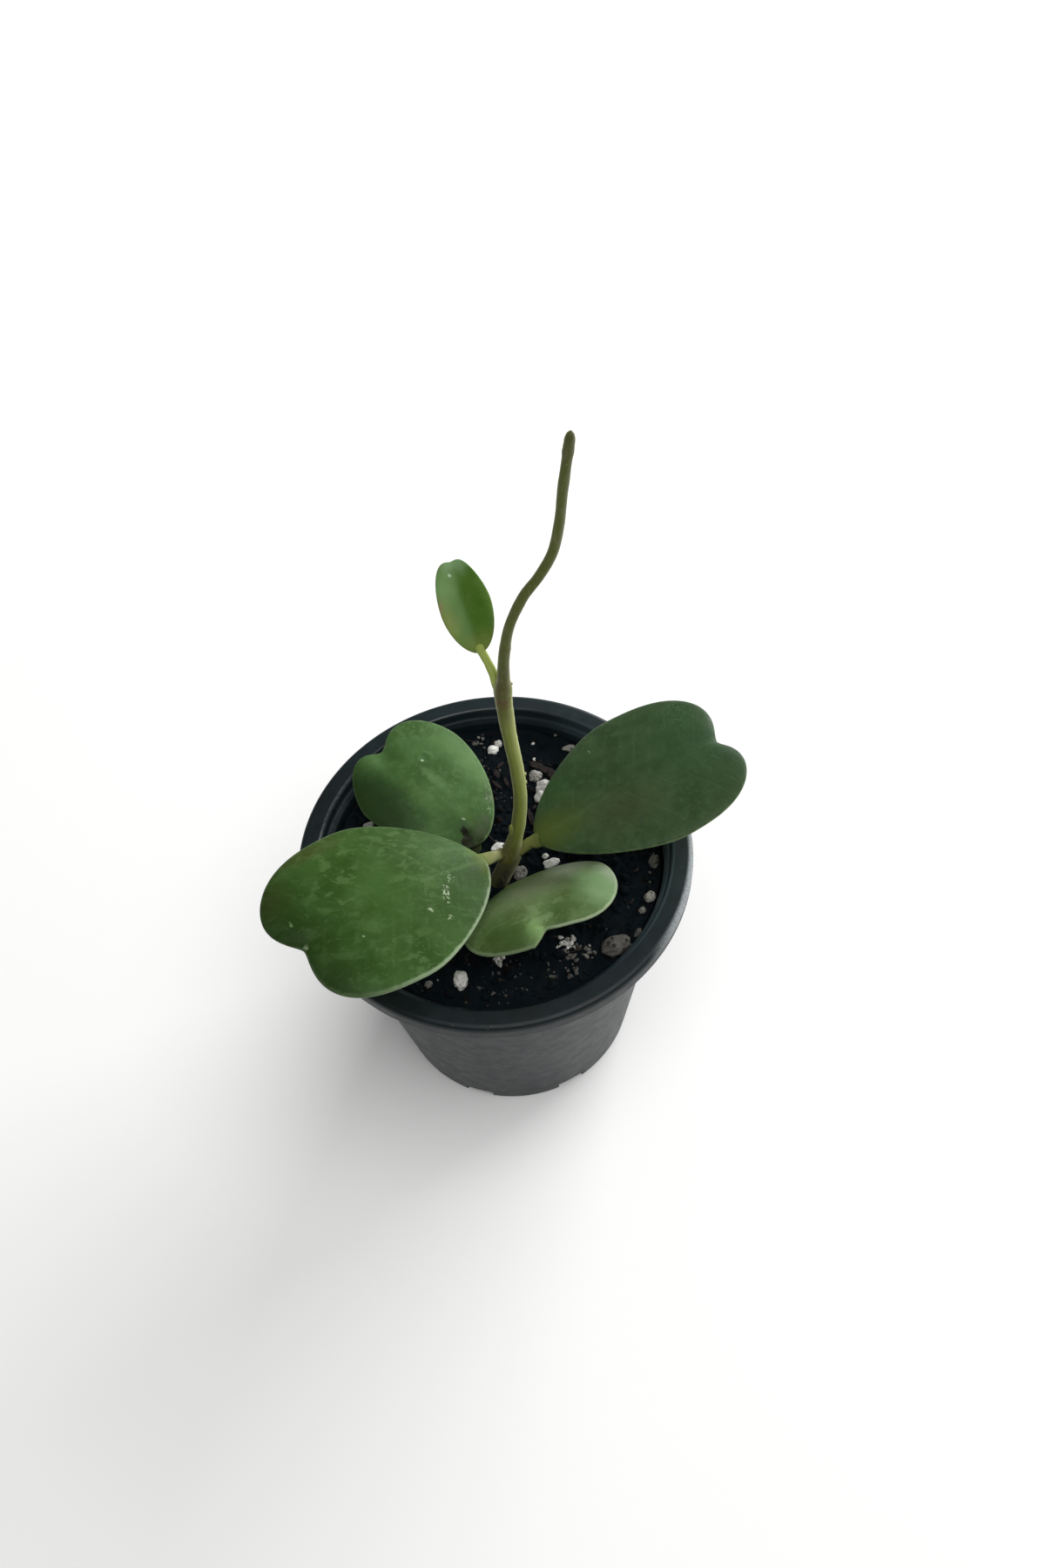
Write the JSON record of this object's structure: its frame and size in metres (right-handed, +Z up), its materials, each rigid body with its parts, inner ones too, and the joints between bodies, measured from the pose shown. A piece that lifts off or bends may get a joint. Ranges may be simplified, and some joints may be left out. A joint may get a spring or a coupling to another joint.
{
  "type": "potted hoya plant",
  "caption": "Young sweetheart hoya with thick notched heart-shaped leaves and one bare climbing vine, standing in a round dark nursery pot of potting mix.",
  "frame": {"origin": "middle of the pot's flat underside", "axes": "+Z up along the pot's axis, -Y towards the viewer of the reference view, +X to the viewer's right, where the right leaf points"},
  "size_m": [0.1254, 0.108, 0.2169],
  "materials": {
    "pot_plastic": "satin",
    "potting_mix": "matte",
    "stem_green": "satin",
    "leaf_upper": "satin",
    "leaf_lower": "matte",
    "leaf_young": "satin"
  },
  "bodies": {
    "root": {"pot": "pot_plastic", "soil": "potting_mix", "stem": "stem_green", "leaf_left": "leaf_upper", "leaf_right": "leaf_upper", "leaf_back": "leaf_lower", "leaf_front": "leaf_lower", "leaf_small": "leaf_young"}
  },
  "joints": []
}
